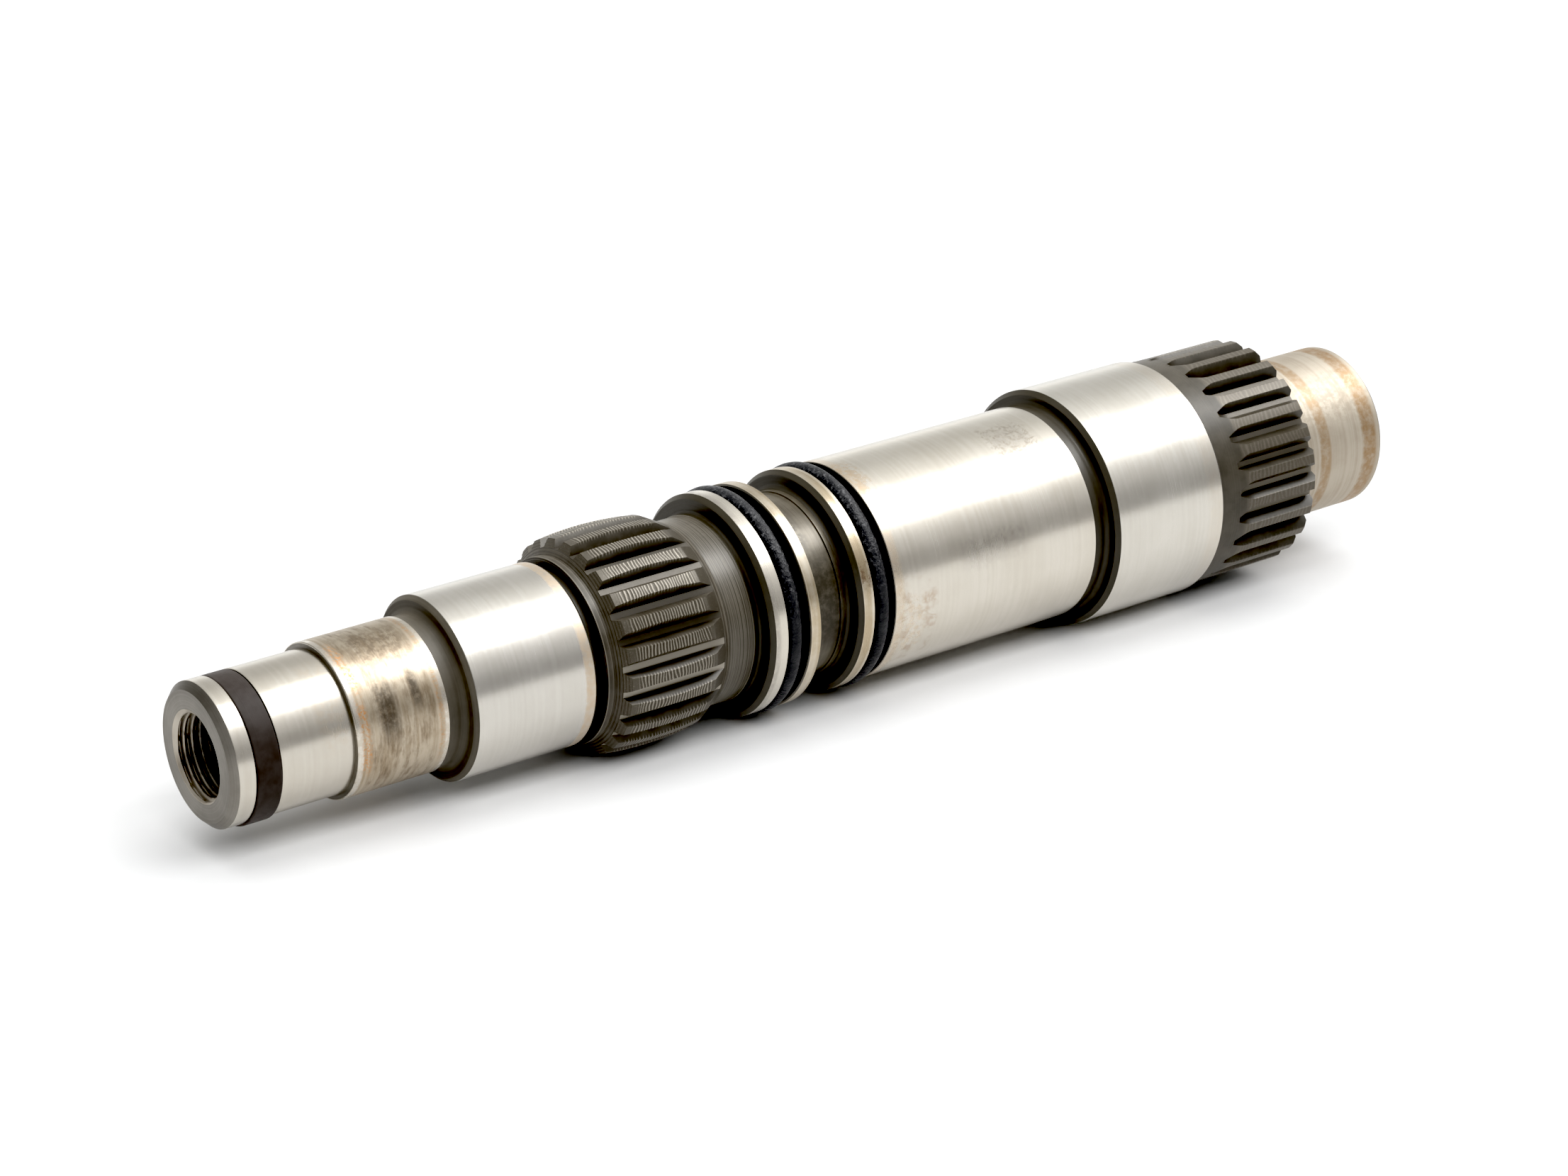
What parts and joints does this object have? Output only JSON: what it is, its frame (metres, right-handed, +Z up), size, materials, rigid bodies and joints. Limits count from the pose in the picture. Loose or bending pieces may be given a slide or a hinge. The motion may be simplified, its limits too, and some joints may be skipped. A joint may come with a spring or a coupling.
{
  "type": "intermediate shaft",
  "caption": "Stepped steel shaft with ground journals, external involute splines, rubber sealing rings in grooved lands, a hard nose ring and a tapped nose, for a geared drive.",
  "frame": {"origin": "middle of the underside of the box round the shaft as it lies at rest on a flat surface", "axes": "+X on the level from the tapped nose towards the plain end journal, +Z up; the shaft's own axis rises 1.4 degrees towards +X"},
  "size_m": [0.2498, 0.0448, 0.0454],
  "materials": {
    "steel": "ground journals, dark satin turned surfaces between them",
    "hard_ring": "satin",
    "rubber": "satin"
  },
  "bodies": {
    "root": {"shaft": "steel", "nose_seal_ring": "hard_ring", "front_rubber_ring": "rubber", "rear_rubber_ring": "rubber"}
  },
  "joints": []
}
